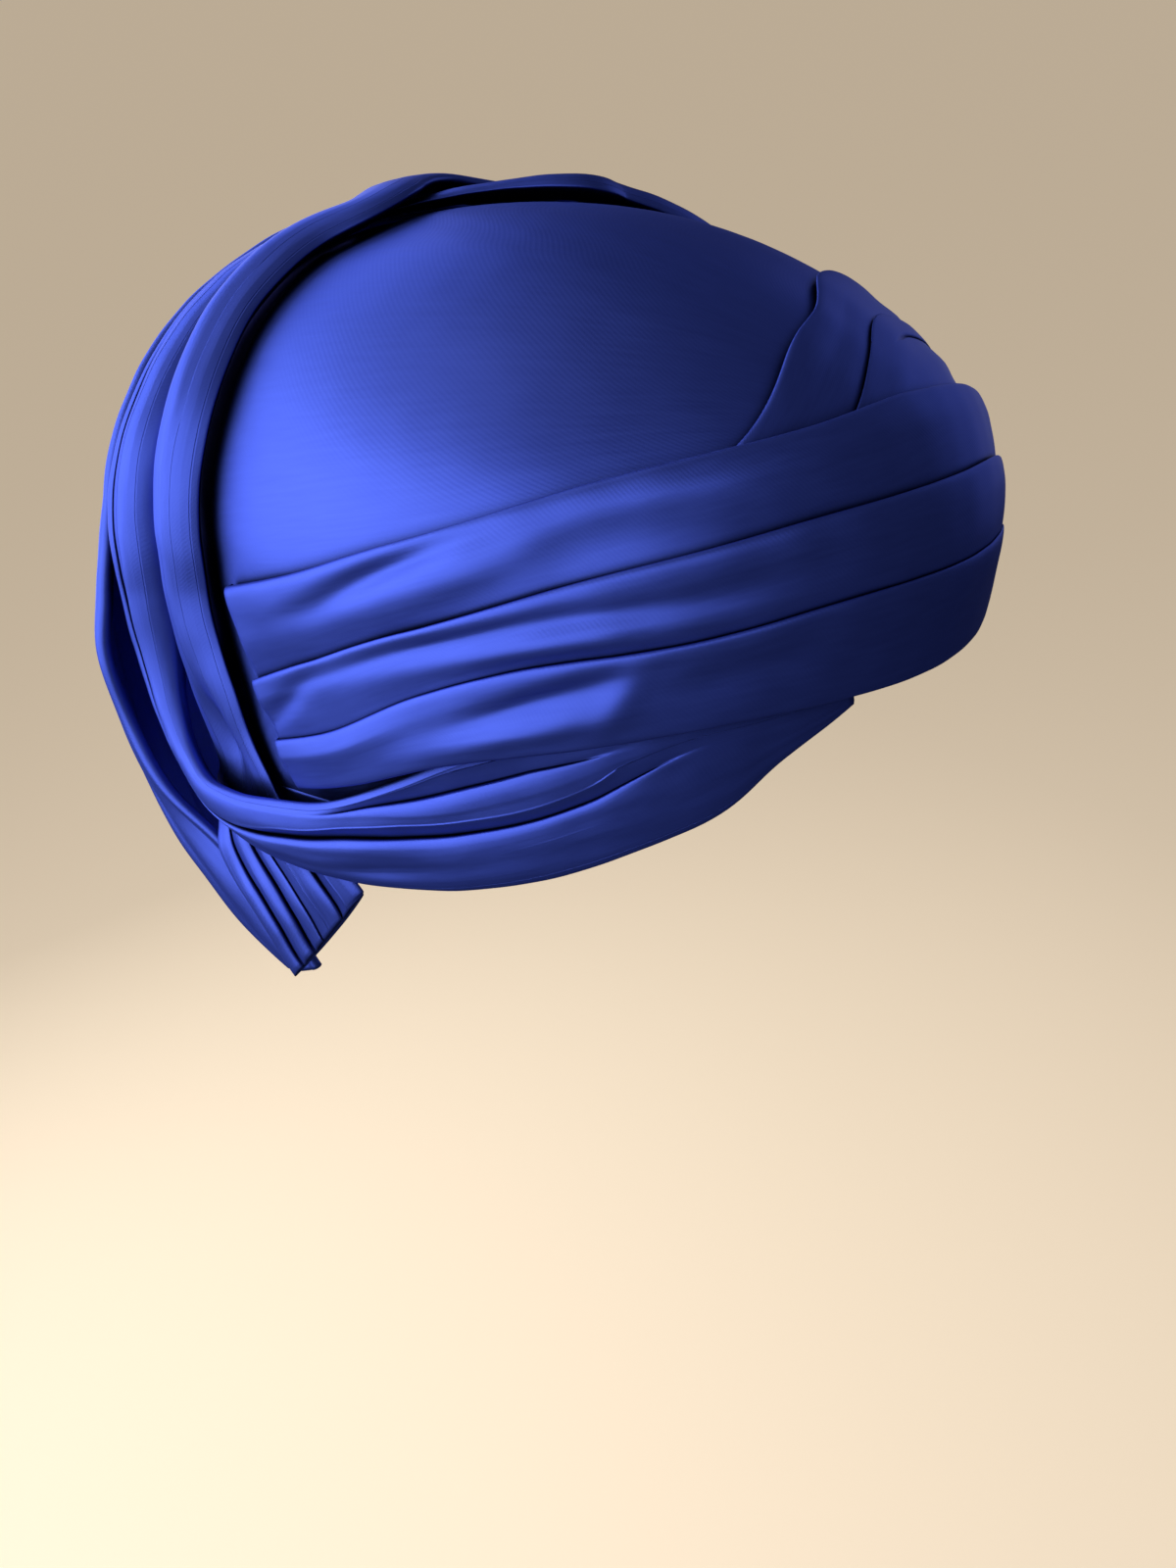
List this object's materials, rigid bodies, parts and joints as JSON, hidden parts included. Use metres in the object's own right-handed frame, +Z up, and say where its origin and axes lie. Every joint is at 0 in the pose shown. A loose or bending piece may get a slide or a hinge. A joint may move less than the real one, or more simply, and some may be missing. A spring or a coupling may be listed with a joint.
{
  "type": "half hat",
  "caption": "Half hat of draped satin: smooth shaped crown, pleated drapes that cross at the front, and twisted strands with gathered tails along an open, bound back edge.",
  "frame": {"origin": "inside top of the crown, where it sits on the head", "axes": "+Z up, the wearer faces -Y and the wearer's right is -X"},
  "size_m": [0.1782, 0.1869, 0.1704],
  "materials": {
    "satin": "glossy royal blue satin weave"
  },
  "bodies": {
    "root": {"crown": "satin", "right_drape": "satin", "left_drape": "satin", "twist_under": "satin", "twist_over": "satin", "back_fold": "satin"}
  },
  "joints": []
}
